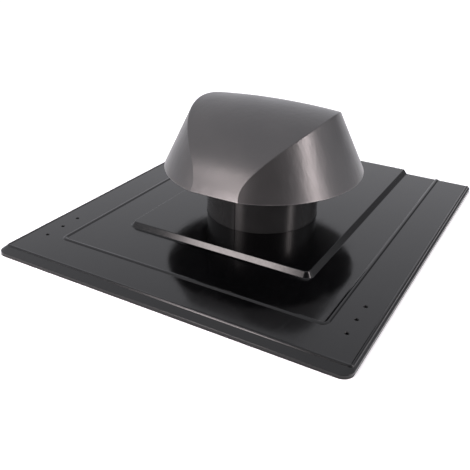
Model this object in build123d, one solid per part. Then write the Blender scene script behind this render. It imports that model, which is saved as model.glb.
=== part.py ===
from build123d import *
import math
import os

# Roof vent cap, millimetres. X runs across the roof, Y up the slope, Z away from the roof.
# The origin is the middle of the flashing plate's footprint, on the plane its edges rest on.

# Flashing plate, a lip and a low border round a raised field
plate_width = 488.0
plate_depth = 545.5
sheet = 3.0
lip_height = 5.0
lip_width = 2.5
lip_round = 0.6
border_rise = 2.0
front_border = 13.2
side_border = 2.4
step_height = 1.0
step_run = 0.5
field_round = 0.3
plate_corner = 13.0
border_corner = 5.0

# Welt along the field's edge
welt_width = 3.2
welt_rise = 0.8
welt_margin = 0.4

# Raised deck
deck_width = 267.0
deck_setback = 147.0
deck_height = 6.8
deck_flare = 5.5
deck_corner = 5.0
deck_round = 1.5
foot_round = 1.2

# Bead that keeps water away from the side edges
bead_span = 380.0
bead_setback = 66.7
bead_width = 6.5
bead_rise = 1.4
bead_corner = 7.0

# Nail holes, three in a row near each front corner
nail_span = 431.5
nail_setback = 63.9
nail_pitch = 29.4
nail_count = 3
nail_hole_diameter = 4.0
nail_sink = 0.8

# Collar
collar_diameter = 160.0
collar_wall = 3.0
collar_setback = 279.0
collar_hole_clearance = 0.4
collar_overlap = 10.0
socket_depth = 70.0
stop_width = 1.0
seam_width = 1.4

# Flange ring bonded round the foot of the collar, under the deck
flange_width = 18.0
flange_thickness = 2.5
flange_bond = 0.15

# Legs on the collar that carry the hood
leg_count = 4
leg_height = 22.0
leg_width = 18.0
pad_reach = 19.0
pad_thickness = 3.0
pad_corner = 5.0
gusset_thickness = 2.0
gusset_height = 12.0

# Hood, a cone cut by a slightly crowned barrel that lies across the roof
rim_gap = 69.0
rim_radius = 140.5
hood_taper = 25.8
barrel_radius = 148.0
barrel_drop = 56.9
barrel_crown = 1050.0
inner_spans = 12
hood_wall = 2.5
ridge_round = 2.2
rim_round = 0.8
boss_diameter = 10.0
boss_inset = 1.0

# Screws through the legs into the hood
screw_diameter = 4.0
screw_length = 16.0
screw_head_flats = 6.5
screw_head_height = 2.6
screw_slip = 0.3
screw_bite = 0.1
pilot_extra = 2.0

# Bird guard in the mouth of the collar
ledge_below_top = 4.0
ledge_thickness = 2.0
ledge_width = 3.0
guard_height = 3.0
guard_rim = 4.0
guard_bar = 2.0
guard_bar_height = 2.2
guard_pitch = 10.0
guard_cross_bars = 2
guard_cross_pitch = 50.0
guard_side_clearance = 0.3
guard_end_clearance = 0.2
lug_count = 4
lug_width = 10.0
lug_reach = 1.2
lug_height = 1.6

# Sealing ring between the collar's flange and the deck
seal_thickness = 1.5
seal_side_clearance = 1.5

# Cutting tools run this far past an open edge, and joined forms reach this far into each other
past = 20.0
skin = 0.5

# Levels and places that follow from the sizes above
plate_front = -plate_depth / 2
plate_rear = plate_depth / 2
border_level = lip_height + border_rise
plate_top = border_level + step_height
plate_underside = plate_top - sheet
deck_top = plate_top + deck_height
deck_underside = deck_top - sheet
deck_front = plate_front + deck_setback
collar_radius = collar_diameter / 2
socket_radius = collar_radius - collar_wall
collar_bore = socket_radius - stop_width
collar_y = plate_front + collar_setback
rim_level = deck_top + rim_gap
collar_top = rim_level + collar_overlap
seat_level = collar_top + leg_height
pad_underside = seat_level - pad_thickness
boss_radius = boss_diameter / 2
boss_centre = collar_radius - pad_reach + boss_radius + boss_inset
taper_slope = math.tan(math.radians(hood_taper))
barrel_top = barrel_radius - barrel_drop
flange_top = deck_underside - seal_thickness
flange_bottom = flange_top - flange_thickness
socket_top = flange_bottom + socket_depth
ledge_top = collar_top - ledge_below_top
ledge_bottom = ledge_top - ledge_thickness
guard_top = ledge_bottom - guard_end_clearance
guard_bottom = guard_top - guard_height
guard_radius = collar_bore - guard_side_clearance


def mitre(run, rise):
    """Shift of a sheet's lower bend line from its upper one, for a wall of this run and rise."""
    return sheet * math.tan(math.atan2(rise, run) / 2)


def footprint(width, front, corner, level):
    """Rectangle with rounded front corners that runs out past the rear edge."""
    depth = plate_rear + past - front
    return Pos(0, front + depth / 2, level) * RectangleRounded(width, depth, corner)


def tapered(low, high):
    """Solid between two footprints with straight sloping walls."""
    return loft([low, high], ruled=True)


def edges_at(shape, level):
    """Edges that lie wholly on one level, apart from those past the rear edge."""
    sized = [(edge, edge.bounding_box()) for edge in shape.edges()]
    return [
        edge
        for edge, size in sized
        if abs(size.min.Z - level) < 1e-4 and abs(size.max.Z - level) < 1e-4 and size.min.Y < plate_rear
    ]


def u_path(side, front, corner):
    """U-shaped line on the plate's top, open at the rear."""
    rear = plate_rear + past
    corners = [(-side, rear), (-side, front), (side, front), (side, rear)]
    return Pos(0, 0, plate_top) * FilletPolyline(*corners, radius=corner)


def swept(path, profile):
    """A profile drawn across a path, carried along it."""
    start = Plane(origin=path @ 0, x_dir=(1, 0, 0), z_dir=path % 0)
    return sweep(start * profile, path=path, transition=Transition.ROUND)


def half_round(width, rise):
    """Rounded section that stands on the plate's top and reaches a little into it."""
    half = width / 2
    outline = ThreePointArc((-half, 0), (0, rise), (half, 0)) + Polyline(
        (half, 0), (half, -skin), (-half, -skin), (-half, 0)
    )
    return make_face(outline)


def stepped(steps):
    """Blocks stacked on each other, from side inset, front inset, corner and level of each outline."""
    outlines = [
        footprint(plate_width - 2 * side, plate_front + front, corner, level)
        for side, front, corner, level in steps
    ]
    return [tapered(low, high) for low, high in zip(outlines, outlines[1:])]


def make_flashing_plate():
    field_side = side_border + step_run
    field_front = front_border + step_run
    lip = stepped([(0, 0, plate_corner, 0), (0, 0, plate_corner, lip_height)])[0]
    lip = fillet(edges_at(lip, lip_height), lip_round)
    border, raised = stepped([
        (lip_round, lip_round, plate_corner - lip_round, lip_height),
        (side_border, front_border, border_corner, border_level),
        (field_side, field_front, border_corner, plate_top),
    ])
    raised = fillet(edges_at(raised, plate_top), field_round)
    field = raised + border + lip

    wall_slope = deck_flare / deck_height
    deck = deck_block(deck_width, deck_front, deck_corner, deck_top, plate_top - skin, wall_slope)
    deck = fillet(edges_at(deck, deck_top), deck_round)
    plate = field + deck
    foot_half = deck_width / 2 + deck_flare
    foot_front = deck_front - deck_flare
    foot = [
        edge
        for edge in edges_at(plate, plate_top)
        if abs(edge.center().X) < foot_half + skin and edge.bounding_box().min.Y > foot_front - skin
    ]
    plate = fillet(foot, foot_round)

    bead_path = u_path(bead_span / 2, plate_front + bead_setback, bead_corner)
    plate += swept(bead_path, half_round(bead_width, bead_rise))
    welt_inset = welt_width / 2 + welt_margin
    welt_side = plate_width / 2 - field_side - welt_inset
    welt_front = plate_front + field_front + welt_inset
    welt_path = u_path(welt_side, welt_front, border_corner - welt_inset)
    plate += swept(welt_path, half_round(welt_width, welt_rise))

    inner = stepped([
        (lip_width, lip_width, plate_corner - lip_width, 0),
        (lip_width, lip_width, plate_corner - lip_width, lip_height - sheet),
        (lip_width + side_border, lip_width + front_border, border_corner, border_level - sheet),
        (lip_width + field_side, lip_width + field_front, border_corner, plate_underside),
    ])
    for block in inner:
        plate -= block

    deck_mitre = mitre(deck_flare, deck_height)
    inner_width = deck_width - 2 * deck_mitre
    inner_front = deck_front + deck_mitre
    plate -= deck_block(
        inner_width, inner_front, deck_corner, deck_underside, plate_underside - skin, wall_slope
    )

    groove_foot = bead_width / 2 - mitre(bead_width / 2, bead_rise)
    groove_crown = groove_foot / 2
    groove_outline = Polyline(
        (-groove_foot, -sheet - skin),
        (-groove_foot, -sheet),
        (-groove_crown, bead_rise - sheet),
        (groove_crown, bead_rise - sheet),
        (groove_foot, -sheet),
        (groove_foot, -sheet - skin),
        close=True,
    )
    plate -= swept(bead_path, make_face(groove_outline))

    plate -= Pos(0, plate_rear + 2 * past, 0) * Box(2 * plate_width, 4 * past, 8 * deck_top)
    hole_radius = collar_radius + collar_hole_clearance
    plate -= Pos(0, collar_y, deck_top) * Cylinder(hole_radius, 4 * sheet)
    for x, y in nail_places():
        plate -= Pos(x, y, plate_top) * Cylinder(nail_hole_diameter / 2, 4 * sheet)
        sink = Cone(nail_hole_diameter / 2, nail_hole_diameter / 2 + nail_sink, nail_sink)
        plate -= Pos(x, y, plate_top - nail_sink / 2) * sink
    return plate


def nail_places():
    """Centres of the nail holes near both front corners."""
    return [
        (side * nail_span / 2, plate_front + nail_setback + step * nail_pitch)
        for side in (-1, 1)
        for step in range(nail_count)
    ]


def deck_block(width, front, corner, level, low_level, slope):
    """Block whose flat top has this width and front, and whose walls spread out going down."""
    spread = slope * (level - low_level)
    low = footprint(width + 2 * spread, front - spread, corner + spread, low_level)
    return tapered(low, footprint(width, front, corner, level))


def leg_angles():
    """Directions of the legs, midway between the main axes for four of them."""
    return [(step + 0.5) * 360 / leg_count for step in range(leg_count)]


def around_collar(angle):
    """Location on the collar's axis, turned so that local X points outward at this angle."""
    return Pos(0, collar_y, 0) * Rot(0, 0, angle)


def ring(outer, inner, bottom, top):
    """Flat or tall ring about the collar's axis."""
    middle = Pos(0, collar_y, (bottom + top) / 2)
    return middle * (Cylinder(outer, top - bottom) - Cylinder(inner, 2 * (top - bottom)))


def make_leg(angle):
    """One leg: a strip of the collar's wall, a pad that the hood's boss stands on, and two gussets."""
    foot_level = collar_top - collar_wall
    strip = ring(collar_radius, collar_bore, foot_level, seat_level)
    height = seat_level - foot_level
    keep = Pos(collar_radius, 0, foot_level + height / 2) * Box(collar_radius, leg_width, height)
    leg = strip & (around_collar(angle) * keep)

    inner = collar_radius - pad_reach
    half = leg_width / 2
    pad_outline = Polyline(
        (inner, half - pad_corner),
        (inner + pad_corner, half),
        (collar_radius, half),
        (collar_radius, -half),
        (inner + pad_corner, -half),
        (inner, pad_corner - half),
        close=True,
    )
    pad = Pos(0, 0, pad_underside) * extrude(make_face(pad_outline), amount=pad_thickness)
    leg += (around_collar(angle) * pad) & ring(collar_radius, skin, pad_underside, seat_level)

    outer = collar_radius - collar_wall / 2
    outline = Polyline(
        (inner + half, pad_underside),
        (outer, pad_underside),
        (outer, pad_underside - gusset_height),
        close=True,
    )
    gusset = extrude(Plane.XZ * make_face(outline), amount=gusset_thickness / 2, both=True)
    shift = (leg_width - gusset_thickness) / 2
    for side in (-1, 1):
        leg += around_collar(angle) * Pos(0, side * shift, 0) * gusset
    hole = Pos(boss_centre, 0, pad_underside) * Cylinder(screw_diameter / 2 + screw_slip, 4 * pad_thickness)
    return leg - around_collar(angle) * hole


def make_collar():
    outline = Polyline(
        (socket_radius, flange_bottom),
        (collar_radius, flange_bottom),
        (collar_radius, collar_top),
        (collar_bore, collar_top),
        (collar_bore, ledge_top),
        (collar_bore - ledge_width, ledge_top),
        (collar_bore - ledge_width, ledge_bottom),
        (collar_bore, ledge_bottom),
        (collar_bore, socket_top),
        (socket_radius, socket_top),
        close=True,
    )
    collar = Pos(0, collar_y, 0) * revolve(Plane.XZ * make_face(outline), Axis.Z)
    for angle in leg_angles():
        collar += make_leg(angle)
    lug_top = guard_bottom
    lug_ring = ring(collar_radius - collar_wall / 2, collar_bore - lug_reach, lug_top - lug_height, lug_top)
    for step in range(lug_count):
        keep = Pos(collar_bore, 0, lug_top - lug_height / 2) * Box(4 * collar_wall, lug_width, 2 * lug_height)
        collar += lug_ring & (around_collar(step * 360 / lug_count) * keep)
    seam_height = collar_top - deck_top
    seam = Pos(collar_radius, 0, deck_top + seam_height / 2) * Cylinder(seam_width / 2, seam_height)
    return collar - around_collar(-90) * seam


def make_flange_ring():
    """Ring bonded round the collar's foot, which the deck's underside rests on through the seal."""
    return ring(collar_radius + flange_width, collar_radius + flange_bond, flange_bottom, flange_top)


def barrel(inset):
    """Crowned barrel about the X axis, inside the hood's outer face by inset, with straight spans inside."""
    radius = barrel_radius - inset
    crown = barrel_crown - inset
    reach = 2 * rim_radius

    def point(share):
        x = share * reach
        return (x, radius - crown + math.sqrt(crown**2 - x**2))

    if inset > 0:
        top = Polyline(*[point(2 * step / inner_spans - 1) for step in range(inner_spans + 1)])
    else:
        top = ThreePointArc(point(-1), point(0), point(1))
    sides = Polyline(point(1), (reach, 0), (-reach, 0), point(-1))
    return revolve(make_face(top + sides), Axis.X)


def cowl_form(inset, below):
    """Cone cut by the barrel, inside the hood's outer face by inset, starting below the rim."""
    low_level = rim_level - below
    high_level = rim_level + barrel_top + past
    side_inset = inset / math.cos(math.radians(hood_taper))
    low_radius = rim_radius - side_inset + taper_slope * below
    high_radius = rim_radius - side_inset - taper_slope * (high_level - rim_level)
    cone = Cone(low_radius, high_radius, high_level - low_level)
    centred = Pos(0, collar_y, (low_level + high_level) / 2) * cone
    return centred & (Pos(0, collar_y, rim_level - barrel_drop) * barrel(inset))


def make_hood():
    form = cowl_form(0, 0)
    ridges = [edge for edge in form.edges() if edge.bounding_box().max.Z > rim_level + skin]
    form = fillet(ridges, ridge_round)
    rim = [edge for edge in form.edges() if edge.bounding_box().max.Z < rim_level + skin / 100]
    form = fillet(rim, rim_round)
    hood = form - cowl_form(hood_wall, past)

    middle_form = cowl_form(hood_wall / 2, 0)
    boss_height = 2 * barrel_top
    pilot_depth = screw_length - pad_thickness + pilot_extra
    for angle in leg_angles():
        boss = Pos(boss_centre, 0, seat_level + boss_height / 2) * Cylinder(boss_radius, boss_height)
        hood += (around_collar(angle) * boss) & middle_form
    for angle in leg_angles():
        pilot_radius = screw_diameter / 2 + screw_bite
        pilot = Pos(boss_centre, 0, seat_level + pilot_depth / 2) * Cylinder(pilot_radius, pilot_depth)
        hood -= around_collar(angle) * pilot
    return hood


def make_hood_screws():
    shank_middle = pad_underside + screw_length / 2
    shank = Pos(0, 0, shank_middle) * Cylinder(screw_diameter / 2, screw_length)
    flats = RegularPolygon(screw_head_flats / 2, 6, major_radius=False)
    head = Pos(0, 0, pad_underside - screw_head_height) * extrude(flats, amount=screw_head_height)
    screw = shank + head
    places = [around_collar(angle) * Pos(boss_centre, 0, 0) for angle in leg_angles()]
    return Compound(children=[place * screw for place in places])


def make_bird_guard():
    """Round rim with a row of straight bars, and cross bars that tie them together."""
    inner = guard_radius - guard_rim
    level = guard_bottom + guard_bar_height / 2
    bars = [
        Pos(step * guard_pitch, 0, level) * Box(guard_bar, 2 * guard_radius, guard_bar_height)
        for step in range(-int(inner // guard_pitch), int(inner // guard_pitch) + 1)
    ]
    for step in range(guard_cross_bars):
        y = (step - (guard_cross_bars - 1) / 2) * guard_cross_pitch
        bars.append(Pos(0, y, level) * Box(2 * guard_radius, guard_bar, guard_bar_height))
    field = Pos(0, collar_y, 0) * Compound(children=bars).fuse()
    reach = Pos(0, collar_y, level) * Cylinder(inner + guard_rim / 2, 2 * guard_height)
    return ring(guard_radius, inner, guard_bottom, guard_top) + (field & reach)


def make_seal_ring():
    inner = collar_radius + seal_side_clearance
    outer = collar_radius + flange_width - seal_side_clearance
    return ring(outer, inner, flange_top, deck_underside)


makers = {
    "flashing_plate": make_flashing_plate,
    "collar": make_collar,
    "flange_ring": make_flange_ring,
    "hood": make_hood,
    "hood_screws": make_hood_screws,
    "bird_guard": make_bird_guard,
    "seal_ring": make_seal_ring,
}
os.makedirs("parts", exist_ok=True)
solids = {name: maker() for name, maker in makers.items()}
for name, solid in solids.items():
    export_step(solid, f"parts/{name}.step")
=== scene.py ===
import math

import bpy
from mathutils import Matrix, Vector


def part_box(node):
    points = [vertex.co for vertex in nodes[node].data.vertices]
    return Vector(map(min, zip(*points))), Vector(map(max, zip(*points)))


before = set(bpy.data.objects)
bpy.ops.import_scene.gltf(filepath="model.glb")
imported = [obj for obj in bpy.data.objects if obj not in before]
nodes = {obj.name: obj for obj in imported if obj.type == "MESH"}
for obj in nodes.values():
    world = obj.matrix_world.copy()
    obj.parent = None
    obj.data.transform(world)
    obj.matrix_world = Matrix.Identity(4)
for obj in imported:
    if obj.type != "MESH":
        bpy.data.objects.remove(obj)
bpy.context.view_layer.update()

# Camera, as fitted to the photograph, in metres and degrees
CAMERA_PLACE = Vector((0.37854, -0.74331, 0.40904))
CAMERA_AZIMUTH = 29.438
CAMERA_ELEVATION = 27.638
CAMERA_ROLL = 1.048
FOCAL_PIXELS = 629.76
FRAME_PIXELS = 470
SENSOR_WIDTH = 36.0

# Floor: its size in metres, the tone that lights the object, and the tone that is seen
FLOOR_SIZE = 8.0
FLOOR_ALBEDO = 0.8
FLOOR_SEEN = 1.35

# Studio walls: white, and darker round the camera's own place and at the right rear,
# as azimuth, elevation, inner and outer radius in degrees, and level
WALL_LEVEL = 1.0
WALL_SEEN = 1.05
WALL_TINT = (0.98, 0.98, 1.03, 1)
DARK_ZONES = [
    (26.0, 22.0, 24.0, 57.0, 0.05),
    (159.0, 17.0, 9.0, 25.0, 0.28),
]

# Soft boxes: azimuth and elevation in degrees, width and height in metres, radiance, soft edge
SOFT_BOXES = {
    "front_left_box": (-18.5, 13.0, 0.56, 0.72, 14.0, 0.6),
    "front_left_high": (-28.8, 34.0, 0.57, 0.34, 12.0, 0.6),
    "left_strip": (-52.0, 9.0, 0.20, 0.40, 8.0, 0.6),
    "right_strip": (86.5, 21.0, 0.26, 0.85, 26.0, 0.7),
}
LAMP_DISTANCE = 1.6
LAMP_TINT = (1.0, 0.90, 0.895)

# Watts that give an area lamp of one square metre a radiance of one
WATTS_PER_RADIANCE = 4.0

# Height of the sheet's matt cut edge above the floor and its soft border, in metres
CUT_LEVEL = 0.0012
CUT_SOFT = 0.0002

# Shares of the finer relief in that of the sheet and of the hood
RIPPLE_SHARE = 0.10
GRAIN_SHARE = 0.15

# Refraction of the glossy sheet and of the other mouldings
SHEET_IOR = 1.42
MOULDING_IOR = 1.5

# Part of a noise texture's values that is spread over a whole range
NOISE_LOW = 0.3
NOISE_HIGH = 0.7

# An edge is rubbed and carries a painted highlight where its bevelled normal turns away: cosines where
# wear and the painted highlight start and are full
WEAR_AND_HIGHLIGHT_STARTS = 0.985
WEAR_AND_HIGHLIGHT_FULL = 0.90
BEVEL_SAMPLES = 6

# Sockets of the Mix node, which share their names between its types
MIX_FACTOR = 0
MIX_VALUES = (2, 3)
MIX_COLOURS = (6, 7)
MIX_VALUE_RESULT = 0
MIX_COLOUR_RESULT = 2

# Point that the lamps are turned to
hood_low, hood_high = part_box("hood")
HOOD_CENTRE = (hood_low + hood_high) / 2


def socket(node, name, value):
    """Sets one input of a node."""
    node.inputs[name].default_value = value


def add(tree, kind, **settings):
    """A new node in a tree with its plain settings."""
    node = tree.nodes.new(kind)
    for name, value in settings.items():
        setattr(node, name, value)
    return node


def maths(tree, operation, first, second):
    """Result of a Math node, whose second value is a socket or a plain number."""
    node = add(tree, "ShaderNodeMath", operation=operation)
    tree.links.new(first, node.inputs[0])
    if isinstance(second, float):
        node.inputs[1].default_value = second
    else:
        tree.links.new(second, node.inputs[1])
    return node.outputs[0]


def new_material(name):
    """An empty node material, with its tree and its main shader."""
    material = bpy.data.materials.new(name)
    material.use_nodes = True
    tree = material.node_tree
    return material, tree, tree.nodes["Principled BSDF"]


def assign(node_name, material):
    """Puts a material in a CAD node's only slot."""
    mesh = nodes[node_name].data
    mesh.materials.clear()
    mesh.materials.append(material)


def noise(tree, scale, detail=3.0, roughness=0.5, stretch=(1, 1, 1)):
    """A noise texture in object coordinates, with its own stretch."""
    place = add(tree, "ShaderNodeTexCoord")
    mapping = add(tree, "ShaderNodeMapping")
    socket(mapping, "Scale", stretch)
    texture = add(tree, "ShaderNodeTexNoise")
    socket(texture, "Scale", scale)
    socket(texture, "Detail", detail)
    socket(texture, "Roughness", roughness)
    tree.links.new(place.outputs["Object"], mapping.inputs["Vector"])
    tree.links.new(mapping.outputs["Vector"], texture.inputs["Vector"])
    return texture.outputs["Fac"]


def spread(tree, value, low, high):
    """Maps a noise value to a range."""
    node = add(tree, "ShaderNodeMapRange")
    socket(node, "From Min", NOISE_LOW)
    socket(node, "From Max", NOISE_HIGH)
    socket(node, "To Min", low)
    socket(node, "To Max", high)
    tree.links.new(value, node.inputs["Value"])
    return node.outputs["Result"]


def tint(tree, value, dark, light):
    """Colour between two tones, by a noise value."""
    ramp = add(tree, "ShaderNodeValToRGB")
    low_end, high_end = ramp.color_ramp.elements
    low_end.position, high_end.position = NOISE_LOW, NOISE_HIGH
    low_end.color, high_end.color = (*dark, 1), (*light, 1)
    tree.links.new(value, ramp.inputs["Fac"])
    return ramp.outputs["Color"]


def layered(tree, fine, share, coarse):
    """Coarse relief with a share of a finer one on it."""
    node = add(tree, "ShaderNodeMath", operation="MULTIPLY_ADD")
    tree.links.new(fine, node.inputs[0])
    node.inputs[1].default_value = share
    tree.links.new(coarse, node.inputs[2])
    return node.outputs[0]


def bump(tree, shader, height, strength, distance):
    """Fine relief from a height value."""
    node = add(tree, "ShaderNodeBump")
    socket(node, "Strength", strength)
    socket(node, "Distance", distance)
    tree.links.new(height, node.inputs["Height"])
    tree.links.new(node.outputs["Normal"], shader.inputs["Normal"])


def edge_wear_and_highlight(tree, radius, patches):
    """One on rubbed edges of about this radius, which also carry a painted highlight, broken up by a
    noise value, else zero.
    """
    rounded = add(tree, "ShaderNodeBevel", samples=BEVEL_SAMPLES)
    socket(rounded, "Radius", radius)
    surface = add(tree, "ShaderNodeNewGeometry")
    turned = add(tree, "ShaderNodeVectorMath", operation="DOT_PRODUCT")
    tree.links.new(rounded.outputs["Normal"], turned.inputs[0])
    tree.links.new(surface.outputs["Normal"], turned.inputs[1])
    edge = add(tree, "ShaderNodeMapRange")
    socket(edge, "From Min", WEAR_AND_HIGHLIGHT_STARTS)
    socket(edge, "From Max", WEAR_AND_HIGHLIGHT_FULL)
    tree.links.new(turned.outputs["Value"], edge.inputs["Value"])
    return maths(tree, "MULTIPLY", edge.outputs["Result"], spread(tree, patches, 0.3, 1.0))


def blend(tree, factor, value, other):
    """Value where the factor is zero, the other one where it is one."""
    node = add(tree, "ShaderNodeMix", data_type="FLOAT")
    tree.links.new(factor, node.inputs[MIX_FACTOR])
    tree.links.new(value, node.inputs[MIX_VALUES[0]])
    node.inputs[MIX_VALUES[1]].default_value = other
    return node.outputs[MIX_VALUE_RESULT]


def blend_colour(tree, factor, colour, other):
    """Colour where the factor is zero, the other one where it is one."""
    node = add(tree, "ShaderNodeMix", data_type="RGBA")
    tree.links.new(factor, node.inputs[MIX_FACTOR])
    tree.links.new(colour, node.inputs[MIX_COLOURS[0]])
    node.inputs[MIX_COLOURS[1]].default_value = (*other, 1)
    return node.outputs[MIX_COLOUR_RESULT]


def below(tree, level, soft):
    """One under a height above the floor, in metres, else zero."""
    surface = add(tree, "ShaderNodeNewGeometry")
    split = add(tree, "ShaderNodeSeparateXYZ")
    tree.links.new(surface.outputs["Position"], split.inputs[0])
    step = add(tree, "ShaderNodeMapRange")
    socket(step, "From Min", level + soft)
    socket(step, "From Max", level)
    tree.links.new(split.outputs["Z"], step.inputs["Value"])
    return step.outputs["Result"]


def gloss_plastic():
    """Glossy near-black moulded sheet, slightly uneven, with rubbed edges that are lightened partly as a
    painted highlight, and a matt cut edge.
    """
    material, tree, shader = new_material("gloss_black_sheet")
    cloud = noise(tree, 9.0)
    haze = noise(tree, 22.0, 4.0)
    rubs = noise(tree, 260.0, 3.0, stretch=(1, 0.12, 1))
    wear_and_highlight = edge_wear_and_highlight(tree, 0.0012, haze)
    cut = below(tree, CUT_LEVEL, CUT_SOFT)
    colour = tint(tree, cloud, (0.0014, 0.0014, 0.0016), (0.0024, 0.0024, 0.0027))
    # Edges lightened for rubbed wear and as a painted highlight along the rounded edges.
    colour = blend_colour(tree, wear_and_highlight, colour, (0.012, 0.012, 0.0125))
    colour = blend_colour(tree, cut, colour, (0.0035, 0.0035, 0.004))
    tree.links.new(colour, shader.inputs["Base Color"])
    rough = maths(tree, "ADD", spread(tree, haze, 0.07, 0.14), spread(tree, rubs, 0.0, 0.05))
    rough = blend(tree, wear_and_highlight, rough, 0.50)
    rough = blend(tree, cut, rough, 0.75)
    tree.links.new(rough, shader.inputs["Roughness"])
    socket(shader, "IOR", SHEET_IOR)
    wave = noise(tree, 14.0, 1.0)
    ripple = noise(tree, 75.0, 1.0, stretch=(1, 0.35, 1))
    bump(tree, shader, layered(tree, ripple, RIPPLE_SHARE, wave), 0.16, 0.0006)
    return material


def flake_plastic():
    """Satin anthracite moulding with a fine metallic flake, faint streaks and rubbed edges that are
    lightened partly as a painted highlight.
    """
    material, tree, shader = new_material("satin_anthracite")
    cloud = noise(tree, 12.0)
    patch = noise(tree, 30.0, 4.0)
    wear_and_highlight = edge_wear_and_highlight(tree, 0.0028, patch)
    colour = tint(tree, cloud, (0.080, 0.078, 0.079), (0.092, 0.089, 0.089))
    # Edges made much lighter: rubbed wear and a painted highlight along the hood's edges.
    colour = blend_colour(tree, wear_and_highlight, colour, (0.24, 0.23, 0.23))
    tree.links.new(colour, shader.inputs["Base Color"])
    socket(shader, "Metallic", 0.7)
    tree.links.new(spread(tree, patch, 0.32, 0.37), shader.inputs["Roughness"])
    socket(shader, "IOR", MOULDING_IOR)
    streak = noise(tree, 120.0, 2.0, stretch=(1, 1, 0.05))
    grain = noise(tree, 1800.0, 2.0)
    bump(tree, shader, layered(tree, grain, GRAIN_SHARE, streak), 0.45, 0.0005)
    return material


def pipe_plastic():
    """Half-gloss black pipe."""
    material, tree, shader = new_material("half_gloss_pipe")
    cloud = noise(tree, 16.0)
    colour = tint(tree, cloud, (0.018, 0.018, 0.0185), (0.024, 0.024, 0.0245))
    tree.links.new(colour, shader.inputs["Base Color"])
    patch = noise(tree, 40.0, 4.0)
    tree.links.new(spread(tree, patch, 0.20, 0.26), shader.inputs["Roughness"])
    socket(shader, "IOR", MOULDING_IOR)
    drawn = noise(tree, 90.0, 2.0, stretch=(1, 1, 0.06))
    bump(tree, shader, drawn, 0.05, 0.0004)
    return material


def guard_plastic():
    """Matt black moulding of the bird guard."""
    material, tree, shader = new_material("matt_black_guard")
    cloud = noise(tree, 40.0)
    colour = tint(tree, cloud, (0.014, 0.014, 0.015), (0.022, 0.022, 0.023))
    tree.links.new(colour, shader.inputs["Base Color"])
    socket(shader, "Roughness", 0.55)
    grain = noise(tree, 1200.0, 2.0)
    bump(tree, shader, grain, 0.2, 0.0002)
    return material


def screw_steel():
    """Plain stainless screws of uneven sheen."""
    material, tree, shader = new_material("stainless_screws")
    socket(shader, "Metallic", 1.0)
    cloud = noise(tree, 300.0)
    colour = tint(tree, cloud, (0.42, 0.42, 0.41), (0.6, 0.6, 0.59))
    tree.links.new(colour, shader.inputs["Base Color"])
    tree.links.new(spread(tree, cloud, 0.25, 0.42), shader.inputs["Roughness"])
    return material


def seal_rubber():
    """Matt black butyl."""
    material, tree, shader = new_material("butyl_seal")
    cloud = noise(tree, 60.0)
    colour = tint(tree, cloud, (0.012, 0.012, 0.012), (0.022, 0.022, 0.021))
    tree.links.new(colour, shader.inputs["Base Color"])
    socket(shader, "Roughness", 0.8)
    bump(tree, shader, cloud, 0.3, 0.0004)
    return material


def dress():
    """Gives every CAD node its material."""
    pipe = pipe_plastic()
    assign("flashing_plate", gloss_plastic())
    assign("collar", pipe)
    assign("flange_ring", pipe)
    assign("hood", flake_plastic())
    assign("bird_guard", guard_plastic())
    assign("hood_screws", screw_steel())
    assign("seal_ring", seal_rubber())


def seen_directly(tree):
    """One where a surface is seen by the camera, in a mirror or through glass, else zero."""
    path = add(tree, "ShaderNodeLightPath")
    seen = maths(tree, "MAXIMUM", path.outputs["Is Camera Ray"], path.outputs["Is Glossy Ray"])
    return maths(tree, "MAXIMUM", seen, path.outputs["Is Transmission Ray"])


def make_floor():
    """White studio floor that keeps its soft shadow."""
    bpy.ops.mesh.primitive_plane_add(size=FLOOR_SIZE, location=(0, 0, 0))
    floor = bpy.context.object
    floor.name = "studio_floor"
    material, tree, shader = new_material("floor_white")
    mix = add(tree, "ShaderNodeMix", data_type="RGBA")
    for index, tone in zip(MIX_COLOURS, (FLOOR_ALBEDO, FLOOR_SEEN)):
        mix.inputs[index].default_value = (tone, tone, tone, 1)
    tree.links.new(seen_directly(tree), mix.inputs["Factor"])
    tree.links.new(mix.outputs[MIX_COLOUR_RESULT], shader.inputs["Base Color"])
    socket(shader, "Roughness", 1.0)
    socket(shader, "Specular IOR Level", 0.0)
    floor.data.materials.append(material)


def way_to(azimuth, elevation):
    """Unit vector towards a place round the object: azimuth 0 is the front side, positive towards +X."""
    turn, lift = math.radians(azimuth), math.radians(elevation)
    return Vector((math.sin(turn) * math.cos(lift), -math.cos(turn) * math.cos(lift), math.sin(lift)))


def wall_level(tree, place, azimuth, elevation, inner, outer, level):
    """White wall with one darker zone, by the direction in which it is seen."""
    facing = add(tree, "ShaderNodeVectorMath", operation="DOT_PRODUCT")
    facing.inputs[1].default_value = way_to(azimuth, elevation)
    tree.links.new(place, facing.inputs[0])
    wall = add(tree, "ShaderNodeMapRange", interpolation_type="SMOOTHSTEP")
    socket(wall, "From Min", math.cos(math.radians(outer)))
    socket(wall, "From Max", math.cos(math.radians(inner)))
    socket(wall, "To Min", WALL_LEVEL)
    socket(wall, "To Max", level)
    tree.links.new(facing.outputs["Value"], wall.inputs["Value"])
    return wall.outputs["Result"]


def make_world():
    """Studio walls with their darker zones, which the camera itself sees as plain white."""
    world = bpy.data.worlds.new("studio")
    world.use_nodes = True
    tree = world.node_tree
    place = add(tree, "ShaderNodeTexCoord").outputs["Generated"]
    first_zone, second_zone = [wall_level(tree, place, *zone) for zone in DARK_ZONES]
    walls = maths(tree, "MINIMUM", first_zone, second_zone)
    path = add(tree, "ShaderNodeLightPath")
    white = maths(tree, "MULTIPLY", path.outputs["Is Camera Ray"], WALL_SEEN)
    background = tree.nodes["Background"]
    socket(background, "Color", WALL_TINT)
    tree.links.new(maths(tree, "MAXIMUM", walls, white), background.inputs["Strength"])
    bpy.context.scene.world = world


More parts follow.
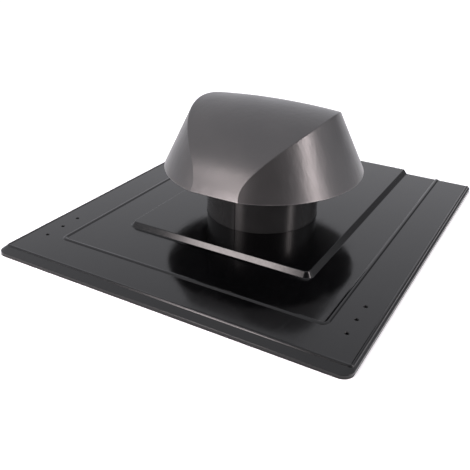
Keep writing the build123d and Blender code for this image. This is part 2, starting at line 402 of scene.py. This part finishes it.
def edge_fade(tree, coordinate, softness):
    """One in the middle of a lamp's side, falling to zero at both ends."""
    inwards = maths(tree, "PINGPONG", coordinate, 0.5)
    fade = add(tree, "ShaderNodeMapRange", interpolation_type="SMOOTHSTEP")
    socket(fade, "From Max", softness / 2)
    tree.links.new(inwards, fade.inputs["Value"])
    return fade.outputs["Result"]


def soft_box(name, azimuth, elevation, width, height, radiance, softness):
    """Area light with soft edges, turned towards the hood."""
    way = way_to(azimuth, elevation)
    light = bpy.data.lights.new(name, "AREA")
    light.shape = "RECTANGLE"
    light.color = LAMP_TINT
    light.size = width
    light.size_y = height
    light.energy = radiance * WATTS_PER_RADIANCE * width * height
    light.use_nodes = True
    tree = light.node_tree
    surface = add(tree, "ShaderNodeNewGeometry")
    split = add(tree, "ShaderNodeSeparateXYZ")
    tree.links.new(surface.outputs["Parametric"], split.inputs[0])
    across, along = (edge_fade(tree, split.outputs[axis], softness) for axis in "XY")
    tree.links.new(maths(tree, "MULTIPLY", across, along), tree.nodes["Emission"].inputs["Strength"])
    lamp = bpy.data.objects.new(name, light)
    lamp.location = HOOD_CENTRE + way * LAMP_DISTANCE
    lamp.rotation_euler = (-way).to_track_quat("-Z", "Y").to_euler()
    bpy.context.scene.collection.objects.link(lamp)


def make_lights():
    """Places all soft boxes."""
    for name, settings in SOFT_BOXES.items():
        soft_box(name, *settings)


def make_camera():
    """Camera at the photograph's viewing angle."""
    data = bpy.data.cameras.new("photo_camera")
    data.sensor_width = SENSOR_WIDTH
    data.lens = FOCAL_PIXELS / FRAME_PIXELS * SENSOR_WIDTH
    camera = bpy.data.objects.new("photo_camera", data)
    bpy.context.scene.collection.objects.link(camera)
    turn = math.radians(CAMERA_AZIMUTH)
    roll = math.radians(CAMERA_ROLL)
    ahead = -way_to(CAMERA_AZIMUTH, CAMERA_ELEVATION)
    level = Vector((math.cos(turn), math.sin(turn), 0))
    upright = level.cross(ahead)
    across = math.cos(roll) * level + math.sin(roll) * upright
    upward = -math.sin(roll) * level + math.cos(roll) * upright
    place = Matrix.Translation(CAMERA_PLACE)
    camera.matrix_world = place @ Matrix((across, upward, -ahead)).transposed().to_4x4()
    bpy.context.scene.camera = camera


make_camera()
dress()
make_floor()
make_world()
make_lights()
bpy.context.scene.view_settings.view_transform = "Standard"
